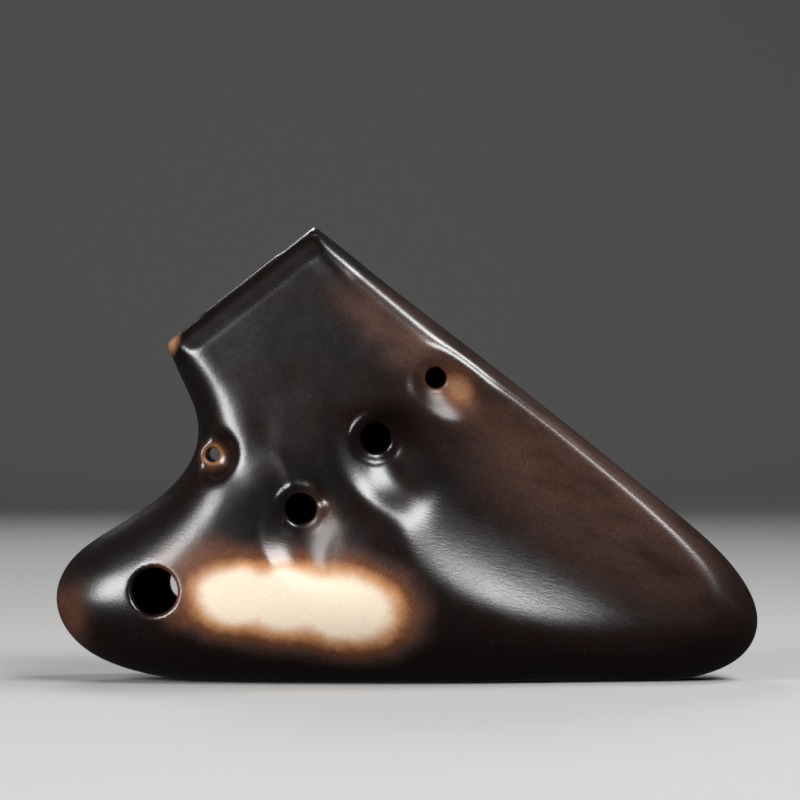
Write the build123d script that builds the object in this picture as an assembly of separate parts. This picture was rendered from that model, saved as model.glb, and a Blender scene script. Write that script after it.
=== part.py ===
from build123d import *

import math
import os

import numpy as np

# A transverse six-hole ocarina (vessel flute) in smoke-fired clay, standing on its
# ground flat. Millimetres. +X runs from the round bell lobe to the tail, +Z is up,
# and the finger-hole face looks along -Y. The origin is the centre of the base.

# ---------------------------------------------------------------- driving dimensions
WALL = 5.0                 # clay thickness of the chamber wall
FLOOR = 6.0                # height of the chamber's lowest point above the base
MOUTH = (-35.8, 84.4)      # centre of the mouthpiece end in x, z
NECK_ANGLE = -51.7         # direction of the breath in the x, z plane, degrees
MOUTH_DEPTH = 7.4          # half thickness of the neck at the mouthpiece end
NECK_TAPER = 0.31          # growth of that half thickness per mm along the neck
BELLY_DEPTH = 24.5         # half thickness of the belly
TAIL_DEPTH = 14.0          # half thickness of the tail
BELLY_END, TAIL_START = -15.0, 80.0   # x between which the belly thins to the tail
BLEND = 3.0                # softness of the change from neck to belly
RIM_POWER = 2.5            # 2 rounds the rim as a circle, more makes it fuller
LIP_DEPTH = 5.2            # half thickness of the bevelled lip
LIP_BEVEL = 5.6            # width of the bevels along the neck

# Outline in the x, z plane: control points of a closed cubic curve, each with the
# distance over which the surface rolls over to the rim there. The neck runs on past
# the mouthpiece end, which is cut flat later, and the belly dips below the base.
OUTLINE = [
    (-29.5, 104.0, 3.5), (-19.8, 96.7, 3.5), (-0.6, 81.4, 5.0), (20.9, 65.1, 6.5),
    (40.8, 49.1, 8.0), (56.8, 36.3, 9.5), (69.2, 26.0, 12.0), (76.7, 14.0, 14.0),
    (73.0, 4.4, 16.0), (62.0, 0.0, 18.0), (46.0, -1.6, 20.0), (20.0, -1.8, 22.0),
    (-15.0, -1.8, 24.0), (-42.0, -1.2, 24.0), (-60.0, 1.6, 24.0), (-71.6, 7.0, 24.0),
    (-77.0, 17.0, 24.0), (-72.6, 27.0, 22.0), (-61.4, 33.2, 18.0), (-50.8, 40.2, 14.0),
    (-44.6, 48.6, 12.0), (-44.6, 57.0, 11.0), (-48.7, 65.3, 7.0), (-51.5, 72.3, 5.0),
    (-56.5, 83.5, 4.0), (-56.0, 98.0, 4.0), (-42.0, 109.0, 3.5),
]
FRONT_POLE = (-22.5, 37.1)  # the surface closes here, where the ring finger hole is cut
BACK_POLE = (8.0, 38.0)     # and here on the back, where the right thumb hole is cut
RING_POINTS = 64
RINGS = 10                  # rings of points from a pole to the rim
FIRST_RING = 0.2            # place of the ring next to a pole, in ring spacings
CAP_SHARE = 0.05            # rings smaller than this share of the outline are flat
OUTLINE_STEPS = 2400        # samples of the outline for the distance to it
SMALLEST_ROLL = 3.0
SMALLEST_NECK = 3.0         # least half thickness of the neck's wedge, far past its end

# Windway: a flat slot that climbs towards the back of the neck and blows on the labium
WINDWAY_LENGTH = 30.0
WINDWAY_WIDTHS = (14.0, 11.0)    # at the mouthpiece end, at the window
WINDWAY_FLOORS = (1.2, 12.1)     # height of its floor above the middle plane, same ends
WINDWAY_ROOFS = (2.8, 13.1)
BLOCK_WIDTH = 20.0
BLOCK_UNDERSIDE = -3.0
ROOF_WIDTH = 18.0
WINDOW_LENGTH = 5.0
WINDOW_WIDTH = 11.0
LABIUM_WIDTH = 15.0
LABIUM_LENGTH = 12.0
LABIUM_EDGE = 14.4               # height of the labium's edge above the middle plane
LABIUM_RISE = 7.6                # rise of its ramp from the edge to its far end
LABIUM_UNDERCUT = 4.0            # length of the slope under the edge
EDGE_THICKNESS = 0.1             # clay left at the edge itself

FINGER_HOLES = {
    "first": ((5.8, 64.6), 2.3),
    "middle": ((-6.9, 51.9), 3.2),
    "ring": ((-22.5, 37.1), 3.3),
    "bell": ((-53.2, 19.7), 4.95),           # the large plain hole on the lobe
}
THUMB_HOLES = (((-48.0, 20.0), 4.1), ((8.0, 38.0), 4.1))
# Hollows smeared into the front by the maker's thumb, each part of an ellipsoid: its
# centre, the direction of its long axis in the x, z plane, how steeply that axis dips
# into the clay, and its half axes along, into and across the clay
HOLLOWS = (
    ((9.5, -23.5, 61.0), -45.0, 0.0, (13.0, 9.0, 7.6)),         # by the first hole
    ((-1.5, -25.0, 46.8), -45.0, -16.0, (14.0, 10.5, 11.0)),    # by the middle hole
    ((-20.5, -28.0, 31.5), -45.0, -18.0, (15.0, 10.0, 12.5)),   # by the ring finger hole
    ((32.6, -46.4, 36.6), -35.0, 5.0, (80.0, 34.5, 38.0)),      # the palm's
)

STRAP_HOLE = (-41.4, 48.3)       # centre of the lanyard hole in x, z
STRAP_RADIUS = 1.65
POST_RADIUS = 3.4
POST_LENGTH = 21.0
DIMPLE_RADIUS = 5.2              # ball that hollows the surface round the lanyard hole
LUG_RADIUS = 5.6                 # solid clay left around the post
COIL_WIDTH = 4.4                 # seam coil along the inside of the join
COIL_THICKNESS = 1.6
CAVITY_MARGIN = 1.0              # the wall behind a hollow may be this much thinner
FAR = 200.0                      # longer than anything here
SPARE = 1.0                      # how far a cutting form runs past the face it opens


def unit(angle):
    """Unit vector in the x, z plane."""
    return np.array([math.cos(math.radians(angle)), math.sin(math.radians(angle))])


def step(t):
    """Smooth rise from 0 at t = 0 to 1 at t = 1."""
    t = np.clip(t, 0.0, 1.0)
    return t * t * t * (t * (6.0 * t - 15.0) + 10.0)


def outline_at(t):
    """Points (x, z, roll) of the closed cubic B-spline, t in turns of the outline."""
    control = np.array(OUTLINE)
    count = len(control)
    u = np.asarray(t) % 1.0 * count
    i = np.floor(u).astype(int)
    f = (u - i)[:, None]
    weights = (
        (1 - f) ** 3 / 6,
        (3 * f**3 - 6 * f**2 + 4) / 6,
        (-3 * f**3 + 3 * f**2 + 3 * f + 1) / 6,
        f**3 / 6,
    )
    return sum(w * control[(i + k - 1) % count] for k, w in enumerate(weights))


def inset_outline(t, inset):
    """The outline moved inwards by inset, its roll distance shortened to match."""
    shape = outline_at(t)
    ahead = outline_at(t + 1e-4) - outline_at(t - 1e-4)
    normal = np.stack([ahead[:, 1], -ahead[:, 0]], axis=1)
    normal /= np.linalg.norm(normal, axis=1)[:, None]
    shape[:, :2] += normal * inset
    shape[:, 2] = np.maximum(shape[:, 2] - 0.5 * inset, SMALLEST_ROLL)
    return shape


def rim_nearness(points, inset):
    """Distance of x, z points to the outline as a share of its roll distance there.

    A sum of inverse fourth powers over the outline keeps it smooth everywhere.
    """
    shape = inset_outline(np.arange(0.0, 1.0, 1.0 / OUTLINE_STEPS), inset)
    length = np.linalg.norm(shape[:, :2] - np.roll(shape[:, :2], 1, axis=0), axis=1)
    away = np.linalg.norm(points[:, None, :] - shape[None, :, :2], axis=2)
    total = np.sum(length * shape[:, 2] ** 3 / np.maximum(away, 0.1) ** 4, axis=1)
    return (2.0 / math.pi * total) ** (-1.0 / 3.0)


def thickness(points):
    """Half thickness of the body away from its rim: a wedge of a neck on a thinning belly."""
    along = (points - np.array(MOUTH)) @ unit(NECK_ANGLE)
    neck = np.maximum(MOUTH_DEPTH + NECK_TAPER * along, SMALLEST_NECK)
    thinning = step((points[:, 0] - BELLY_END) / (TAIL_START - BELLY_END))
    belly = BELLY_DEPTH - (BELLY_DEPTH - TAIL_DEPTH) * thinning
    return -BLEND * np.log(np.exp(-neck / BLEND) + np.exp(-belly / BLEND))


def depth(points, inset):
    """Distance of the surface from the y = 0 plane, for the body or, inset, its chamber."""
    near = np.minimum(rim_nearness(points, inset), 1.0)
    return (thickness(points) - inset) * (1.0 - (1.0 - near) ** RIM_POWER) ** 0.5


def ring(pole, share, side, inset):
    """Closed curve on the surface: the outline shrunk by share towards the pole."""
    t = np.arange(RING_POINTS) / RING_POINTS
    rim = inset_outline(t, inset)[:, :2]
    points = np.array(pole) + share * (rim - np.array(pole))
    height = np.zeros(RING_POINTS)
    if share < 1.0:
        height = side * depth(points, inset)
    if share < CAP_SHARE:
        height[:] = height.mean()
    corners = [Vector(x, y, z) for (x, z), y in zip(points, height)]
    turns = [k / RING_POINTS for k in range(RING_POINTS + 1)]
    return Wire([Edge.make_spline(corners, periodic=True, parameters=turns)])


def loft_body(inset):
    """One smooth solid through rings from the front pole, round the rim, to the back pole."""
    spacing = math.radians(90.0) / (RINGS - 1 + FIRST_RING)
    shares = [math.sin(spacing * (k + FIRST_RING)) for k in range(RINGS - 1)]
    rings = [ring(FRONT_POLE, share, -1, inset) for share in shares]
    rings.append(ring(FRONT_POLE, 1.0, 1, inset))
    rings.extend(ring(BACK_POLE, share, 1, inset) for share in reversed(shares))
    return Solid.make_loft(rings, ruled=False)


def neck_plane(offset=0.0):
    """Plane with local x along the neck, local y to the back and local z across it."""
    along = unit(NECK_ANGLE)
    across = unit(NECK_ANGLE + 90.0)
    return Plane(
        origin=(MOUTH[0], 0.0, MOUTH[1]),
        x_dir=(along[0], 0.0, along[1]),
        z_dir=(across[0], 0.0, across[1]),
    ).offset(offset)


def neck_prism(corners, width):
    """Prism across the neck from corners given as distance along it and height."""
    face = neck_plane(-width / 2) * make_face(Polyline(*corners, close=True))
    return Solid.extrude(face.face(), neck_plane().z_dir * width)


def hollows(grown=0.0):
    """Ellipsoids that make the front's hollows, or, grown, keep the wall behind them."""
    shapes = []
    for centre, angle, dip, half_axes in HOLLOWS:
        round_ball = Rotation(0, 0, -90) * Sphere(1.0)   # its seam stays outside the clay
        ball = scale(round_ball, by=tuple(half + grown for half in half_axes))
        turned = Rotation(0, -angle, 0) * Rotation(0, 0, dip) * ball
        shapes.append(Pos(*centre) * turned)
    return shapes


def y_cylinder(place, radius, low, high):
    """Round bar along y between low and high, through x, z."""
    return Solid.make_cylinder(radius, high - low, Plane((place[0], low, place[1]), z_dir=(0, 1, 0)))


def ring_finger_hole():
    """The hole on the front pole, which takes away the point where the rings close."""
    place, radius = FINGER_HOLES["ring"]
    return y_cylinder(place, radius, -FAR / 2, 0)


def strap_dimple(side):
    """Dimple round one end of the lanyard hole, flat where the post ends."""
    sink = DIMPLE_RADIUS - (DIMPLE_RADIUS**2 - POST_RADIUS**2) ** 0.5
    reach = side * (POST_LENGTH / 2 + DIMPLE_RADIUS - sink)
    ball = Pos(STRAP_HOLE[0], reach, STRAP_HOLE[1]) * Sphere(DIMPLE_RADIUS)
    low, high = sorted((0.0, side * POST_LENGTH / 2))
    return ball - y_cylinder(STRAP_HOLE, 2 * DIMPLE_RADIUS, low, high)


def up_the_neck(distance):
    """Everything nearer to the mouthpiece end than distance along the neck, and past it."""
    return neck_prism([(-FAR, -FAR), (distance, -FAR), (distance, FAR), (-FAR, FAR)], FAR)


def lip_bevel(side):
    """Everything above the sloping bevel on one side of the lip."""
    slope = (MOUTH_DEPTH + NECK_TAPER * LIP_BEVEL - LIP_DEPTH) / LIP_BEVEL
    before, after = -2 * LIP_BEVEL, 4 * LIP_BEVEL
    low = side * (LIP_DEPTH + slope * before)
    high = side * (LIP_DEPTH + slope * after)
    return neck_prism([(before, low), (after, high), (before, high)], FAR)


def make_outside():
    """The whole outer form, without holes: loft, base flat, lip bevels and hollows."""
    body = loft_body(0.0)
    body -= Pos(0, 0, -FAR / 2) * Box(FAR, FAR, FAR)
    body -= up_the_neck(0.0)
    for side in (-1, 1):
        body -= lip_bevel(side)
    body -= ring_finger_hole()
    for hollow in hollows():
        body -= hollow
    for side in (-1, 1):
        body -= strap_dimple(side)
    return body


def make_chamber():
    """The air space: the inset form behind the windway block, clear of the hollows."""
    space = loft_body(WALL)
    space -= Pos(0, 0, FLOOR - FAR / 2) * Box(FAR, FAR, FAR)
    space -= up_the_neck(WINDWAY_LENGTH)
    space -= ring_finger_hole()
    for hollow in hollows(grown=WALL - CAVITY_MARGIN):
        space -= hollow
    space -= y_cylinder(STRAP_HOLE, LUG_RADIUS, -FAR / 2, FAR / 2)
    return space


def drill(shell, front):
    """Cut the finger holes of one side through the wall."""
    if front:
        for place, radius in FINGER_HOLES.values():
            shell -= y_cylinder(place, radius, -FAR / 2, 0)
        return shell
    for place, radius in THUMB_HOLES:
        shell -= y_cylinder(place, radius, 0, FAR / 2)
    return shell


def windway_line(heights):
    """Heights of the windway's floor or roof at both ends, as corners of a prism."""
    return [(0, heights[0]), (WINDWAY_LENGTH, heights[1])]


def block_form():
    """Bar between the halves of the neck, from its underside to the windway's roof."""
    sides = [(WINDWAY_LENGTH, BLOCK_UNDERSIDE), (0, BLOCK_UNDERSIDE)]
    return neck_prism(windway_line(WINDWAY_ROOFS) + sides, BLOCK_WIDTH)


def roof_form():
    """Everything above the windway over the width of its roof."""
    return neck_prism(windway_line(WINDWAY_ROOFS) + [(WINDWAY_LENGTH, FAR), (0, FAR)], ROOF_WIDTH)


def labium_form():
    """Everything over the labium's footprint on the back half."""
    start = WINDWAY_LENGTH + WINDOW_LENGTH
    end = start + LABIUM_LENGTH
    return neck_prism([(start, SPARE), (end, SPARE), (end, FAR), (start, FAR)], LABIUM_WIDTH)


def windway_size(sizes, distance):
    """A size given at both ends of the windway, on the straight line through them."""
    return sizes[0] + (sizes[1] - sizes[0]) * distance / WINDWAY_LENGTH


def make_windway_block():
    """Windway floor: the bar with a groove that narrows towards the window."""
    start, end = -SPARE, WINDWAY_LENGTH + SPARE
    corners = []
    for distance, side in ((start, 1), (end, 1), (end, -1), (start, -1)):
        half = windway_size(WINDWAY_WIDTHS, distance) / 2
        across = side * half * unit(NECK_ANGLE + 90.0)
        place = np.array(MOUTH) + distance * unit(NECK_ANGLE) + across
        corners.append((place[0], 0.0, place[1]))
    plan = make_face(Polyline(*corners, close=True)).face()
    groove = Solid.extrude(plan, Vector(0, FAR, 0))
    floor = [(distance, windway_size(WINDWAY_FLOORS, distance)) for distance in (start, end)]
    groove &= neck_prism(floor + [(end, FAR), (start, FAR)], FAR)
    return block_form() - groove


def make_labium(back):
    """Wedge that splits the breath: a ramp between two cheeks, sharp at the window."""
    start = WINDWAY_LENGTH + WINDOW_LENGTH
    end = start + LABIUM_LENGTH
    labium = back & labium_form()
    ramp = [(start, LABIUM_EDGE), (end, LABIUM_EDGE + LABIUM_RISE), (end, FAR), (start, FAR)]
    labium -= neck_prism(ramp, WINDOW_WIDTH)
    inner = start + LABIUM_UNDERCUT
    under_edge = LABIUM_EDGE - EDGE_THICKNESS
    undercut = [(start, 0), (inner, 0), (inner, LABIUM_EDGE), (start, under_edge)]
    return labium - neck_prism(undercut, WINDOW_WIDTH)


def make_back_shell(back):
    """Back half with its window and the seats of block, roof and labium."""
    start = WINDWAY_LENGTH
    end = start + WINDOW_LENGTH
    window = [(start, SPARE), (end, SPARE), (end, FAR), (start, FAR)]
    back -= block_form()
    back -= roof_form()
    back -= labium_form()
    back -= neck_prism(window, WINDOW_WIDTH)
    return drill(back, front=False)


def make_seam_coil(space):
    """Coil of clay pressed along the join, on the chamber's wall."""
    slab = Box(FAR, COIL_WIDTH, FAR) & space
    t = np.arange(RING_POINTS) / RING_POINTS
    inner = [Vector(x, -FAR / 2, z) for x, z in inset_outline(t, WALL + COIL_THICKNESS)[:, :2]]
    face = Face(Wire([Edge.make_spline(inner, periodic=True)]))
    core = Solid.extrude(face, Vector(0, FAR, 0))
    core &= Pos(0, 0, FLOOR + COIL_THICKNESS + FAR / 2) * Box(FAR, FAR, FAR)
    core -= y_cylinder(STRAP_HOLE, LUG_RADIUS + COIL_THICKNESS, -FAR / 2, FAR / 2)
    return slab - core


def make_strap_post():
    """Clay tube through the crook for a lanyard."""
    half = POST_LENGTH / 2
    return y_cylinder(STRAP_HOLE, POST_RADIUS, -half, half) - y_cylinder(
        STRAP_HOLE, STRAP_RADIUS, -half, half
    )


def write(node, shape):
    """Save one sub-part under its name."""
    shape.label = node
    export_step(shape, f"parts/{node}.step")


def main():
    os.makedirs("parts", exist_ok=True)
    outside = make_outside()
    space = make_chamber()
    clay = outside - space
    clay -= y_cylinder(STRAP_HOLE, POST_RADIUS, -FAR / 2, FAR / 2)
    front = clay & Pos(0, -FAR / 2, 0) * Box(FAR, FAR, 2 * FAR)
    back = clay & Pos(0, FAR / 2, 0) * Box(FAR, FAR, 2 * FAR)
    write("front_shell", drill(front - block_form(), front=True))
    write("back_shell", make_back_shell(back))
    write("windway_block", make_windway_block())
    write("windway_roof", outside & roof_form())
    write("labium", make_labium(back))
    write("strap_post", make_strap_post())
    write("seam_coil", make_seam_coil(space))


main()
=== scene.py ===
import math

import bmesh
import bpy
import numpy as np
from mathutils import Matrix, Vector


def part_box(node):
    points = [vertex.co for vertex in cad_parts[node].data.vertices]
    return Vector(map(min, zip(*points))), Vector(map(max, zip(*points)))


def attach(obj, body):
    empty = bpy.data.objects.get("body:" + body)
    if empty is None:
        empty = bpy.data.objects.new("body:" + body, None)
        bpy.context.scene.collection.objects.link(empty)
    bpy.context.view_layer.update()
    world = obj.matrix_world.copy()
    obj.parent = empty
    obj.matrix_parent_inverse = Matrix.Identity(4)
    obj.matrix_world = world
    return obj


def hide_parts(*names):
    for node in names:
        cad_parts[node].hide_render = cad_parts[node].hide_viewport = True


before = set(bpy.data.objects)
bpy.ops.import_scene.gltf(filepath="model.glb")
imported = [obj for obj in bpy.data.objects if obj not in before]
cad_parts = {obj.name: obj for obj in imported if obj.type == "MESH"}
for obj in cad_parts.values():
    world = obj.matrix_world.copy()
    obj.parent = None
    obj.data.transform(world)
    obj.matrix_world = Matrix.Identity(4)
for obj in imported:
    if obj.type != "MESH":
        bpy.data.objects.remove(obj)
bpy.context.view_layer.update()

import openvdb
from mathutils import Vector

# The looks of a smoke-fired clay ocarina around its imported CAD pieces. Metres, +Z up;
# the finger-hole face looks along -Y and the round bell lobe is on the -X side.
# The clay pieces are merged into one field of fullness, which is softened as wet clay
# is under the thumb, and its surface is then cut again at the join of the two halves.

MM = 0.001
PITCH = 0.58 * MM            # grid spacing of the field of fullness
RAMP = 1.5 * PITCH           # half the distance over which fullness goes from 0 to 1
MARGIN = 8                   # empty grid cells around the clay
FINE = 0.45 * MM             # softness of edges at the holes, the lips and the windway
SOFT = 1.3 * MM              # softness of the thumbed front and of everything else
ROUND = 1.9 * MM             # softness of the front's edge along the straight rim
BROAD = 3.2 * MM             # softness of the palm hollow's long lower edge
SMEARED = 5.5 * MM           # softness of the ridge between the ring finger and palm hollows
CUT_SLACK = 0.02 * MM        # corners this near the join are taken to lie in it
JOIN = 1                     # material slot of the hidden faces where the halves meet

# Places from the CAD. Holes that keep a crisp edge: x, z and radius
HOLES = [
    (5.8 * MM, 64.6 * MM, 2.3 * MM),
    (-6.9 * MM, 51.9 * MM, 3.2 * MM),
    (-22.5 * MM, 37.1 * MM, 3.3 * MM),
    (-53.2 * MM, 19.7 * MM, 4.95 * MM),
    (-41.4 * MM, 48.3 * MM, 1.65 * MM),
]
HOLE_EDGE = 0.3 * MM                # width around a hole that stays fully crisp
HOLE_FADE = 0.75                    # radii over which the crispness ends
CRISP_PLACES = [                    # along the mouthpiece end, and at the window
    (-45 * MM, 0, 78 * MM),
    (-36 * MM, 0, 84 * MM),
    (-26 * MM, 0, 92 * MM),
    (-14 * MM, 18 * MM, 57 * MM),
]
CRISP_REACH = (12 * MM, 20 * MM)    # fully crisp up to the first distance, soft from the second
MOUTH = (-35.8 * MM, 84.4 * MM)     # the middle of the mouthpiece end
NECK_ANGLE = -51.7                  # direction of the breath in the x, z plane
LIP = 5.6 * MM                      # width of the bevels at the mouthpiece end
LIP_EDGE = (1.2 * MM, 3.2 * MM)     # depth past the end over which its outer edge is soft
SLOT_CLEAR = (3.2 * MM, 4.4 * MM)   # the windway's slot lies nearer the middle than this
RIM = 63.6 * MM                     # how far the straight rim is from the origin
RIM_ANGLE = 51.7                    # direction in which it faces
RIM_INSET = 3 * MM                  # the front's edge is this far inside the rim
RIM_BAND = (3 * MM, 7 * MM)         # its half width, full and with the fade
RIM_FRONT = (-6 * MM, -2 * MM)      # y between which the softening of the front ends

# Where the thumb's smears run into each other: x, y, z, then full and no softening
RIDGE = (-11.5 * MM, -23 * MM, 28 * MM, 6 * MM, 15 * MM)
SMOOTHED = [
    (3 * MM, -18 * MM, 33 * MM, 3 * MM, 11 * MM),
    (-32 * MM, -21 * MM, 43 * MM, 4 * MM, 13 * MM),
]
# The palm hollow on the front: its centre (x, z), direction in degrees and half axes
PALM = ((32.6 * MM, 36.6 * MM), -35.0, (51 * MM, 24 * MM))
PALM_BAND = (0.30, 0.75)            # half width of its edge in half axes, full and with the fade
PALM_LOWER = (-0.45, 0.05)          # only below this, in half widths from its middle
PALM_FRONT = (-8 * MM, -3 * MM)     # y between which the softening of the front ends


# ---------------------------------------------------------------- form
def triangles_of(node):
    """Corners and triangles of a CAD node's mesh."""
    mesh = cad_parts[node].data
    mesh.calc_loop_triangles()
    corners = np.empty(len(mesh.vertices) * 3, dtype=np.float32)
    mesh.vertices.foreach_get("co", corners)
    faces = np.empty(len(mesh.loop_triangles) * 3, dtype=np.int32)
    mesh.loop_triangles.foreach_get("vertices", faces)
    return corners.reshape(-1, 3), faces.reshape(-1, 3).astype(np.uint32)


def grid_of(nodes):
    """Lowest grid index and grid size that hold the nodes with a margin."""
    boxes = np.array([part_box(node) for node in nodes])
    low = np.floor(boxes[:, 0].min(axis=0) / PITCH).astype(int) - MARGIN
    high = np.ceil(boxes[:, 1].max(axis=0) / PITCH).astype(int) + MARGIN
    return low, tuple(high - low + 1)


def fullness(nodes, low, size):
    """1 inside the clay and 0 outside. Pieces that touch add up to 1 at their joint."""
    total = np.zeros(size, dtype=np.float32)
    steps = openvdb.createLinearTransform(voxelSize=PITCH)
    for node in nodes:
        corners, faces = triangles_of(node)
        grid = openvdb.FloatGrid.createLevelSetFromPolygons(
            corners, triangles=faces, transform=steps, halfWidth=3
        )
        distance = np.empty(size, dtype=np.float32)
        grid.copyToArray(distance, ijk=tuple(int(i) for i in low))
        total += np.clip(0.5 - distance / (2 * RAMP), 0.0, 1.0)
    return np.minimum(total, 1.0)


def soften(field, radius):
    """Gaussian blur of a grid."""
    reach = int(3 * radius / PITCH) + 1
    weights = np.exp(-0.5 * (np.arange(-reach, reach + 1) * PITCH / radius) ** 2)
    weights = (weights / weights.sum()).astype(np.float32)
    for axis in range(3):
        pad = [(reach, reach) if a == axis else (0, 0) for a in range(3)]
        wide = np.pad(field, pad, mode="edge")
        count = field.shape[axis]
        field = sum(
            weight * np.take(wide, range(k, k + count), axis=axis)
            for k, weight in enumerate(weights)
        )
    return field


def fade(value, full, none):
    """1 up to full, falling smoothly to 0 from none on."""
    t = np.clip((none - value) / (none - full), 0.0, 1.0)
    return t * t * (3 - 2 * t)


def near(centres, place, inner, outer):
    """1 within inner of place, falling smoothly to 0 at outer. None in place is ignored."""
    away = sum((c - at) ** 2 for c, at in zip(centres, place) if at is not None) ** 0.5
    return fade(away, inner, outer)


def reach(centres, place, angle):
    """Distance past a place (x, z), measured along a direction in the x, z plane."""
    turn = math.radians(angle)
    return (centres[0] - place[0]) * math.cos(turn) + (centres[2] - place[1]) * math.sin(turn)


def rim_edge(centres):
    """1 along the front's edge above the palm hollow, falling smoothly to 0."""
    inside = RIM - reach(centres, (0, 0), RIM_ANGLE)
    below_lip = fade(-reach(centres, MOUTH, NECK_ANGLE), -2 * LIP, -LIP)
    return fade(abs(inside - RIM_INSET), *RIM_BAND) * below_lip * fade(centres[1], *RIM_FRONT)


def palm_edge(centres):
    """1 along the lower edge of the palm hollow on the front, falling smoothly to 0."""
    x, y, z = centres
    (middle_x, middle_z), angle, (half_length, half_width) = PALM
    turn = math.radians(angle)
    along = (x - middle_x) * math.cos(turn) + (z - middle_z) * math.sin(turn)
    across = (z - middle_z) * math.cos(turn) - (x - middle_x) * math.sin(turn)
    ring = ((along / half_length) ** 2 + (across / half_width) ** 2) ** 0.5
    band = fade(abs(ring - 1.0), *PALM_BAND)
    return band * fade(across / half_width, *PALM_LOWER) * fade(y, *PALM_FRONT)


def value_at(field, index):
    """Value of a grid at fractional grid indices, one row each."""
    base = np.floor(index).astype(int)
    part = index - base
    total = np.zeros(len(index))
    for corner in np.ndindex(2, 2, 2):
        cell = base + np.array(corner)
        weight = np.prod(np.where(corner, part, 1 - part), axis=1)
        total += weight * field[cell[:, 0], cell[:, 1], cell[:, 2]]
    return total


def outward_at(field, index):
    """Unit direction in which the field falls, at fractional grid indices."""
    slopes = [value_at(slope, index) for slope in np.gradient(field)]
    fall = -np.stack(slopes, axis=1)
    return fall / np.linalg.norm(fall, axis=1)[:, None]


def softened(total, low):
    """The field blurred as touch does it: crisp at worked edges, broad between the smears."""
    size = total.shape
    centres = np.meshgrid(
        *[(np.arange(size[a], dtype=np.float32) + low[a]) * PITCH for a in range(3)],
        indexing="ij",
        sparse=True,
    )
    field = soften(total, SOFT)
    filled = np.maximum.accumulate(total, axis=1)      # no chamber behind the front wall
    plain = soften(filled, SOFT)
    ridge = near(centres, RIDGE[:3], *RIDGE[3:])
    palm = palm_edge(centres)
    for smear in SMOOTHED:
        palm = np.maximum(palm, near(centres, smear[:3], *smear[3:]))
    palm *= 1 - ridge
    rim = rim_edge(centres) * (1 - palm)
    for share, radius in ((ridge, SMEARED), (palm, BROAD), (rim, ROUND)):
        field += share * (soften(filled, radius) - plain)
    crisp = np.zeros(size, dtype=np.float32)
    for x, z, radius in HOLES:
        edge = radius + HOLE_EDGE
        crisp = np.maximum(crisp, near(centres, (x, None, z), edge, edge + HOLE_FADE * radius))
    for place in CRISP_PLACES:
        crisp = np.maximum(crisp, near(centres, place, *CRISP_REACH))
    lip_edge = fade(reach(centres, MOUTH, NECK_ANGLE), *LIP_EDGE)
    beside_slot = 1 - fade(abs(centres[1]), *SLOT_CLEAR)
    crisp *= 1 - lip_edge * beside_slot
    field += crisp * (soften(total, FINE) - field)
    return field


def surface_of(field, low):
    """Closed mesh where the clay's fullness is one half."""
    steps = openvdb.createLinearTransform(voxelSize=PITCH)
    grid = openvdb.FloatGrid(0.5)
    grid.transform = steps
    grid.copyFromArray(0.5 - field, ijk=tuple(int(i) for i in low))
    corners, triangles, quads = grid.convertToPolygons(isovalue=0.0, adaptivity=0.0)
    corners[:, 2] = np.maximum(corners[:, 2], 0.0)     # nothing sinks into the floor
    mesh = bpy.data.meshes.new("whole")
    mesh.from_pydata(corners.tolist(), [], triangles.tolist() + quads.tolist())
    return mesh


def empty_caps(caps, rim, field, low):
    """Of the faces that fill all loops of the join, those that lie in the hollow space."""
    walls = set(rim)
    waiting = set(caps)
    empty = []
    while waiting:
        region = [waiting.pop()]
        for face in region:
            for edge in face.edges:
                if edge in walls:
                    continue
                linked = waiting.intersection(edge.link_faces)
                waiting -= linked
                region.extend(linked)
        centres = np.array([face.calc_center_median() for face in region])
        areas = np.array([face.calc_area() for face in region])
        clay = value_at(field, centres / PITCH - low) - 0.5
        if np.sum(areas * clay) < 0:
            empty.extend(region)
    return empty


def drop_islands(shape):
    """Delete all but the largest closed surface: tiny voids where the pieces meet."""
    waiting = set(shape.verts)
    islands = []
    while waiting:
        island = [waiting.pop()]
        for vert in island:
            for edge in vert.link_edges:
                other = edge.other_vert(vert)
                if other in waiting:
                    waiting.remove(other)
                    island.append(other)
        islands.append(island)
    islands.sort(key=len)
    for island in islands[:-1]:
        bmesh.ops.delete(shape, geom=island, context="VERTS")


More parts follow.
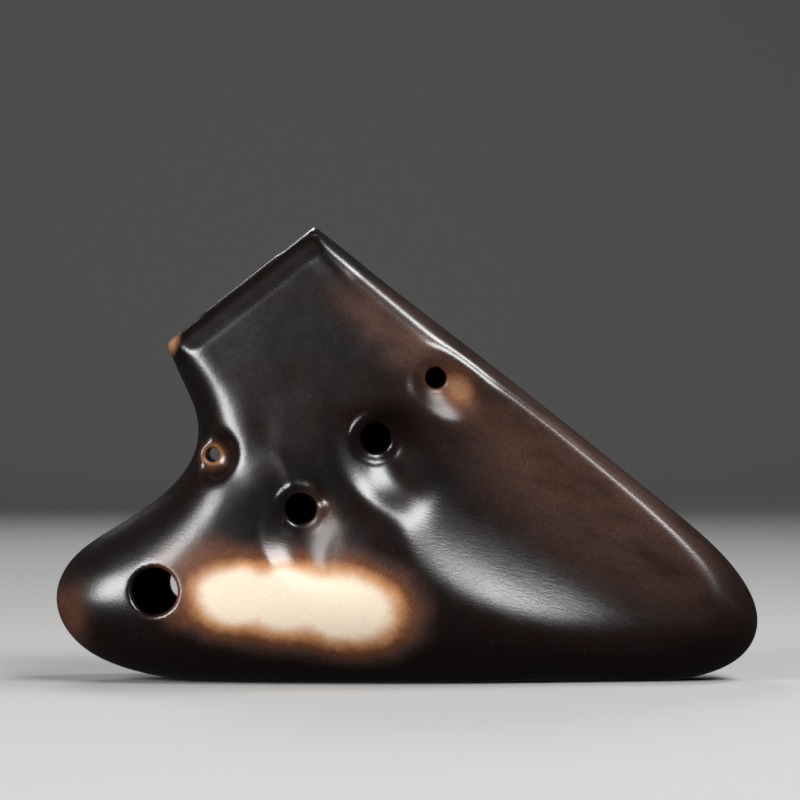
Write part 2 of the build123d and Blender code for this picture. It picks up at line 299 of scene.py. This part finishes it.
def half_of(whole, name, side, field, low):
    """The part of the whole mesh on one side of y = 0, closed over the join."""
    shape = bmesh.new()
    shape.from_mesh(whole)
    drop_islands(shape)
    cut = bmesh.ops.bisect_plane(
        shape,
        geom=shape.verts[:] + shape.edges[:] + shape.faces[:],
        dist=CUT_SLACK,
        plane_co=(0, 0, 0),
        plane_no=(0, side, 0),
        clear_inner=True,
    )
    rim = [edge for edge in cut["geom_cut"] if isinstance(edge, bmesh.types.BMEdge)]
    filled = bmesh.ops.triangle_fill(shape, edges=rim, normal=(0, -side, 0))
    caps = [face for face in filled["geom"] if isinstance(face, bmesh.types.BMFace)]
    hollow = empty_caps(caps, rim, field, low)
    caps = set(caps).difference(hollow)
    bmesh.ops.delete(shape, geom=hollow, context="FACES")
    for face in caps:
        face.normal_update()
        if face.normal.y * side > 0:
            face.normal_flip()
        face.material_index = JOIN
    mesh = bpy.data.meshes.new(name)
    shape.to_mesh(mesh)
    shape.free()
    corners = np.empty(len(mesh.vertices) * 3)
    mesh.vertices.foreach_get("co", corners)
    normals = outward_at(field, corners.reshape(-1, 3) / PITCH - low)
    loop_corners = np.empty(len(mesh.loops), dtype=int)
    mesh.loops.foreach_get("vertex_index", loop_corners)
    per_loop = normals[loop_corners]
    loops_per_face = np.empty(len(mesh.polygons), dtype=int)
    mesh.polygons.foreach_get("loop_total", loops_per_face)
    kinds = np.empty(len(mesh.polygons), dtype=int)
    mesh.polygons.foreach_get("material_index", kinds)
    per_loop[np.repeat(kinds, loops_per_face) == JOIN] = (0, -side, 0)
    mesh.polygons.foreach_set("use_smooth", [True] * len(mesh.polygons))
    mesh.normals_split_custom_set(per_loop.tolist())
    piece = bpy.data.objects.new(name, mesh)
    bpy.context.collection.objects.link(piece)
    return piece


# ---------------------------------------------------------------- staging
def softbox(name, place, target, size, watts):
    """Rectangular light that faces the target."""
    light = bpy.data.lights.new(name, "AREA")
    light.shape = "RECTANGLE"
    light.size, light.size_y = size
    light.energy = watts
    light.color = (0.97, 0.985, 1.0)
    lamp = bpy.data.objects.new(name, light)
    bpy.context.collection.objects.link(lamp)
    lamp.location = place
    lamp.rotation_euler = (Vector(target) - Vector(place)).to_track_quat("-Z", "Y").to_euler()


def make_floor():
    """Plain pale floor that curves up into a plain wall far behind."""
    half, front, back, bend, top = 3.0, -2.0, 1.2, 0.8, 3.0
    profile = [(front, 0.0), (back, 0.0)]
    steps = 32
    for k in range(1, steps + 1):
        angle = math.pi / 2 * k / steps
        profile.append((back + bend * math.sin(angle), bend * (1 - math.cos(angle))))
    profile.append((back + bend, top))
    shape = bmesh.new()
    rows = [[shape.verts.new((x, y, z)) for x in (-half, half)] for y, z in profile]
    for low_row, high_row in zip(rows, rows[1:]):
        shape.faces.new([low_row[0], low_row[1], high_row[1], high_row[0]]).smooth = True
    mesh = bpy.data.meshes.new("floor")
    shape.to_mesh(mesh)
    shape.free()
    floor = bpy.data.objects.new("floor", mesh)
    bpy.context.collection.objects.link(floor)
    paint = bpy.data.materials.new("floor_paint")
    paint.use_nodes = True
    surface = paint.node_tree.nodes["Principled BSDF"]
    surface.inputs["Base Color"].default_value = (0.42, 0.41, 0.40, 1)
    surface.inputs["Roughness"].default_value = 0.8
    mesh.materials.append(paint)
    floor.visible_glossy = False     # the burnished clay mirrors a dark studio instead


def make_camera():
    """Level view square on to the finger-hole face through a long lens."""
    distance, view_width, sensor = 0.78, 171.7 * MM, 36.0
    camera = bpy.data.cameras.new("camera")
    camera.sensor_width = sensor
    camera.lens = sensor * distance / view_width
    camera.clip_start = 0.01
    holder = bpy.data.objects.new("camera", camera)
    bpy.context.collection.objects.link(holder)
    holder.location = (-1.7 * MM, -distance, 59.9 * MM)
    holder.rotation_euler = (math.pi / 2, 0, 0)
    bpy.context.scene.camera = holder


def make_light():
    """Two soft boxes in front, left and right, a small one above, one behind, a dim room."""
    target = (0, 0, 45 * MM)
    softbox("left_box", (-0.60, -0.40, 0.30), target, (0.30, 0.35), 5.0)
    softbox("right_box", (0.42, -0.40, 0.60), target, (0.46, 0.30), 6.6)
    softbox("top_box", (0.42, 0.14, 0.72), target, (0.24, 0.24), 3.0)
    softbox("back_box", (-0.20, 0.80, 0.60), target, (0.40, 0.30), 2.4)
    world = bpy.data.worlds.new("room")
    world.use_nodes = True
    world.node_tree.nodes["Background"].inputs["Color"].default_value = (0.02, 0.02, 0.02, 1)
    bpy.context.scene.world = world


# ---------------------------------------------------------------- clay
class Painter:
    """Adds nodes to one material, with short calls for the sums the patterns need."""

    def __init__(self, name):
        self.material = bpy.data.materials.new(name)
        self.material.use_nodes = True
        self.tree = self.material.node_tree
        self.surface = self.tree.nodes["Principled BSDF"]
        self.place = self.tree.nodes.new("ShaderNodeTexCoord").outputs["Object"]

    def join(self, value, socket):
        """Link an output to an input, or set a plain value on it."""
        if isinstance(value, bpy.types.NodeSocket):
            self.tree.links.new(value, socket)
        elif value is not None:
            socket.default_value = value

    def math(self, operation, a, b, c=None):
        """One sum of two or three values."""
        node = self.tree.nodes.new("ShaderNodeMath")
        node.operation = operation
        self.join(a, node.inputs[0])
        self.join(b, node.inputs[1])
        self.join(c, node.inputs[2])
        return node.outputs[0]

    def add(self, a, b):
        """Sum of two values."""
        return self.math("ADD", a, b)

    def times(self, a, b):
        """Product of two values."""
        return self.math("MULTIPLY", a, b)

    def mix(self, share, a, b):
        """Colour a where share is 0 and b where it is 1."""
        node = self.tree.nodes.new("ShaderNodeMix")
        node.data_type = "RGBA"
        self.join(share, node.inputs[0])
        self.join(a, node.inputs[6])
        self.join(b, node.inputs[7])
        return node.outputs[2]

    def noise(self, size, detail=3.0, rough=0.55, stretch=None, seed=0.0):
        """Noise from 0 to 1 whose blots are about size across, or longer along stretch."""
        vector = self.place
        if stretch is not None:
            angle, squeeze = stretch
            turn = self.tree.nodes.new("ShaderNodeMapping")
            turn.vector_type = "TEXTURE"
            turn.inputs["Rotation"].default_value = (0, -math.radians(angle), 0)
            turn.inputs["Scale"].default_value = (squeeze, 1, 1)
            self.join(vector, turn.inputs["Vector"])
            vector = turn.outputs[0]
        node = self.tree.nodes.new("ShaderNodeTexNoise")
        node.noise_dimensions = "4D"
        self.join(vector, node.inputs["Vector"])
        node.inputs["W"].default_value = seed
        node.inputs["Scale"].default_value = 1.0 / size
        node.inputs["Detail"].default_value = detail
        node.inputs["Roughness"].default_value = rough
        return node.outputs["Fac"]

    def rise(self, value, low, high):
        """0 below low, 1 above high and smooth between; low may be the larger."""
        node = self.tree.nodes.new("ShaderNodeMapRange")
        node.interpolation_type = "SMOOTHSTEP"
        self.join(value, node.inputs["Value"])
        node.inputs["From Min"].default_value = low
        node.inputs["From Max"].default_value = high
        return node.outputs[0]

    def reach(self, place, angle):
        """Distance past a place (x, z), measured along a direction in the x, z plane."""
        turn = self.tree.nodes.new("ShaderNodeMapping")
        turn.vector_type = "TEXTURE"
        turn.inputs["Location"].default_value = (place[0], 0, place[1])
        turn.inputs["Rotation"].default_value = (0, -math.radians(angle), 0)
        self.join(self.place, turn.inputs["Vector"])
        parts = self.tree.nodes.new("ShaderNodeSeparateXYZ")
        self.join(turn.outputs[0], parts.inputs[0])
        return parts.outputs[0]

    def away(self, centre, angle=0.0, half_sizes=(1.0, 1.0, 1.0)):
        """Distance from centre in half sizes, along angle in x, z, along y and across it."""
        turn = self.tree.nodes.new("ShaderNodeMapping")
        turn.vector_type = "TEXTURE"
        turn.inputs["Location"].default_value = centre
        turn.inputs["Rotation"].default_value = (0, -math.radians(angle), 0)
        turn.inputs["Scale"].default_value = half_sizes
        self.join(self.place, turn.inputs["Vector"])
        length = self.tree.nodes.new("ShaderNodeVectorMath")
        length.operation = "LENGTH"
        self.join(turn.outputs[0], length.inputs[0])
        return length.outputs["Value"]


# Colours from bare clay to soot, and of the shaded lip
CREAM = (0.87, 0.725, 0.55, 1)
TAN = (0.55, 0.265, 0.115, 1)
EMBER = (0.150, 0.050, 0.018, 1)
# UMBER is real brown clay, kept light enough to serve as painted sheen over the palm hollow
UMBER = (0.072, 0.036, 0.026, 1)
SOOT = (0.0085, 0.0036, 0.0030, 1)
IRON = (0.0066, 0.0052, 0.0058, 1)
SHADE = (0.0050, 0.0024, 0.0020, 1)
MELT = 0.30                  # how softly the bare patches run into each other
LEAST_ROUGHNESS = 0.155      # of the best burnished clay
SPECULAR = 0.74              # strength of its mirror reflection, 0.5 being glass
GRAIN_DEPTH = 0.028 * MM     # depth of the clay's grain and of the burnishing strokes
LIP_LINE = 0.2 * MM          # softness of the line where the shaded lip begins


def millimetres(*values):
    """A place or half sizes given in millimetres."""
    return tuple(value * MM for value in values)


def smoked_body(painter):
    """Base tone: soot that drifts into umber over the palm hollow, the neck and the back; over the
    palm hollow the umber is also a painted sheen.
    """
    drift = painter.noise(26 * MM, detail=4, seed=2.0)
    tone = painter.mix(painter.rise(drift, 0.46, 0.68), SOOT, IRON)
    umber_and_sheen = None
    # Umber clouds: centre and half sizes in millimetres, direction in degrees. The first, over the
    # palm hollow and the tail, is brown clay made lighter as a painted sheen as well.
    for centre, angle, halves in (
        ((36, -18, 43), -38, (48, 30, 18)),
        ((-2, -18, 74), -38, (20, 26, 9)),
        ((-20, 18, 30), 0, (60, 20, 22)),
        ((-74, 0, 12), 70, (14, 26, 9)),
    ):
        away = painter.away(millimetres(*centre), angle, millimetres(*halves))
        cloud = painter.rise(away, 1.15, 0.25)
        umber_and_sheen = cloud if umber_and_sheen is None else painter.math("MAXIMUM", umber_and_sheen, cloud)
    blots = painter.noise(9 * MM, detail=5, rough=0.6, stretch=(-20, 2.5), seed=5.0)
    patchy = painter.rise(blots, 0.18, 0.62)
    tone = painter.mix(painter.times(umber_and_sheen, patchy), tone, UMBER)
    # Painted shade: the bevels within LIP of the mouthpiece end get the darker SHADE colour
    past_end = painter.reach(MOUTH, NECK_ANGLE)
    on_lip = painter.rise(past_end, LIP + LIP_LINE, LIP - LIP_LINE)
    return painter.mix(on_lip, tone, SHADE)


def heat(painter, centre, angle, halves, wander, seed, blot=5.0):
    """Distance from a patch that the smoke missed, its edge made uneven by noise."""
    away = painter.away(millimetres(*centre), angle, millimetres(*halves))
    rough = painter.noise(blot * MM, detail=4, rough=0.6, seed=seed)
    uneven = painter.times(painter.math("SUBTRACT", rough, 0.5), wander)
    return painter.add(away, uneven)


def glow(painter, tone, away, stops):
    """Lay colours over tone, from the patch's edge inwards."""
    for colour, outer, inner in stops:
        tone = painter.mix(painter.rise(away, outer, inner), tone, colour)
    return tone


def bare_belly(painter, tone):
    """Cream clay on the belly that the smoke never reached, with its brown halo."""
    patch = None
    # The patch is three ovals that run together, in millimetres and degrees
    for k, (centre, angle, halves) in enumerate((
        ((-35.8, -24, 18.9), -4, (10.2, 16, 7.2)),
        ((-25.0, -24, 18.2), 0, (11.0, 16, 7.9)),
        ((-13.6, -24, 16.6), -10, (12.0, 16, 8.2)),
    )):
        away = heat(painter, centre, angle, halves, 0.34, 12.0 + k)
        patch = away if patch is None else painter.math("SMOOTH_MIN", patch, away, MELT)
    halo = ((UMBER, 1.80, 1.22), (EMBER, 1.50, 1.05), (TAN, 1.24, 0.90), (CREAM, 1.00, 0.64))
    return glow(painter, tone, patch, halo), patch


def warm_spots(painter, tone):
    """Small places where the clay shows warm: two dimples, hole edges and a worn corner. The tan
    spot in the first-hole dimple is also a painted highlight.
    """
    # Centre, direction, half sizes, then where in half sizes the colour begins and is full
    spots = (
        ((9.3, -15, 62.4), -45, (6.8, 9, 5.4), 1.20, 0.40, EMBER, 0.75),
        # Tan spot in the first-hole dimple: warm clay, lightened as a painted highlight too
        ((10.6, -15, 62.2), -45, (3.8, 8, 3.0), 1.20, 0.20, TAN, 0.50),
        ((-41.4, -11, 48.2), 0, (3.4, 6, 3.4), 1.25, 0.55, EMBER, 0.55),
        ((-41.4, -11, 48.3), 0, (2.3, 6, 2.3), 1.20, 0.80, TAN, 0.45),
        ((-45.5, -20, 26.6), 12, (10.5, 12, 5.5), 1.25, 0.20, EMBER, 0.60),
        ((-50.9, -3, 71.7), 60, (2.8, 6, 1.8), 1.45, 0.10, TAN, 0.80),
        ((-18.0, -17, 35.0), -60, (8.0, 9, 4.5), 1.20, 0.30, EMBER, 0.30),
        ((-48.5, -20, 17.5), 0, (5.0, 12, 7.0), 1.20, 0.50, EMBER, 0.35),
        ((-73.5, -8, 13.0), 60, (9.0, 14, 5.0), 1.30, 0.40, EMBER, 0.28),
        ((24.0, -18, 50.0), -40, (30.0, 9, 5.0), 1.30, 0.20, EMBER, 0.14),
    )
    for k, (centre, angle, halves, outer, inner, colour, strength) in enumerate(spots):
        away = heat(painter, centre, angle, halves, 0.5, 20.0 + k, blot=3.0)
        share = painter.times(painter.rise(away, outer, inner), strength)
        tone = painter.mix(share, tone, colour)
    return tone


def dull_hollows(painter):
    """Extra roughness in the finger hollows, where the burnishing stone didn't reach."""
    dull = None
    for centre, angle, halves, strength in (
        ((-18.0, -18, 30.5), -75, (8.0, 12, 4.5), 0.14),
        ((8.6, -15, 60.6), -60, (5.5, 10, 4.5), 0.16),
    ):
        away = painter.away(millimetres(*centre), angle, millimetres(*halves))
        here = painter.times(painter.rise(away, 1.2, 0.6), strength)
        dull = here if dull is None else painter.math("MAXIMUM", dull, here)
    return dull


def clay_material(name):
    """Smoke-fired and burnished clay, over the whole body."""
    painter = Painter(name)
    tone = smoked_body(painter)
    tone, patch = bare_belly(painter, tone)
    tone = warm_spots(painter, tone)
    grain = painter.noise(0.45 * MM, detail=3, rough=0.65, seed=31.0)
    strokes = painter.noise(0.35 * MM, detail=2, stretch=(-12, 14.0), seed=32.0)
    specks = painter.rise(painter.noise(0.7 * MM, detail=1, seed=33.0), 0.73, 0.78)
    tone = painter.mix(painter.times(specks, 0.4), tone, EMBER)
    cover = painter.rise(patch, 0.8, 1.4)
    low = painter.mix(cover, (0.95, 0.95, 0.95, 1), (0.78, 0.78, 0.78, 1))
    high = painter.mix(cover, (1.04, 1.04, 1.04, 1), (1.25, 1.25, 1.25, 1))
    shade = painter.mix(painter.rise(grain, 0.30, 0.70), low, high)
    tinted = painter.tree.nodes.new("ShaderNodeMix")
    tinted.data_type = "RGBA"
    tinted.blend_type = "MULTIPLY"
    tinted.inputs[0].default_value = 1.0
    painter.join(tone, tinted.inputs[6])
    painter.join(shade, tinted.inputs[7])
    painter.join(tinted.outputs[2], painter.surface.inputs["Base Color"])
    painter.surface.inputs["Specular IOR Level"].default_value = SPECULAR
    wear = painter.times(painter.noise(6 * MM, detail=4, seed=34.0), 0.15)
    bare = painter.times(painter.rise(patch, 1.1, 0.8), 0.18)
    rough = painter.add(painter.add(wear, bare), painter.add(dull_hollows(painter), LEAST_ROUGHNESS))
    rough = painter.add(rough, painter.times(grain, 0.06))
    painter.join(rough, painter.surface.inputs["Roughness"])
    height = painter.add(painter.times(grain, 0.6), painter.times(strokes, 0.8))
    bump = painter.tree.nodes.new("ShaderNodeBump")
    bump.inputs["Strength"].default_value = 1.0
    bump.inputs["Distance"].default_value = GRAIN_DEPTH
    painter.join(height, bump.inputs["Height"])
    painter.join(bump.outputs[0], painter.surface.inputs["Normal"])
    return painter.material


# ---------------------------------------------------------------- the ocarina
def make_body():
    """Both halves of the finished skin, each in place of the CAD pieces that it covers."""
    nodes = sorted(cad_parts)
    low, size = grid_of(nodes)
    field = softened(fullness(nodes, low, size), low)
    whole = surface_of(field, low)
    clay = clay_material("smoked_clay")
    covered = {"front_half": ["front_shell", "strap_post", "seam_coil"], "back_half": []}
    covered["back_half"] = [node for node in nodes if node not in covered["front_half"]]
    for name, side in (("front_half", -1), ("back_half", 1)):
        piece = half_of(whole, name, side, field, low)
        piece.data.materials.append(clay)
        piece.data.materials.append(clay)    # the same clay at the hidden join
        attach(piece, "root")
        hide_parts(*covered[name])
    bpy.data.meshes.remove(whole)


bpy.context.scene.view_settings.view_transform = "Standard"
make_floor()
make_camera()
make_light()
make_body()
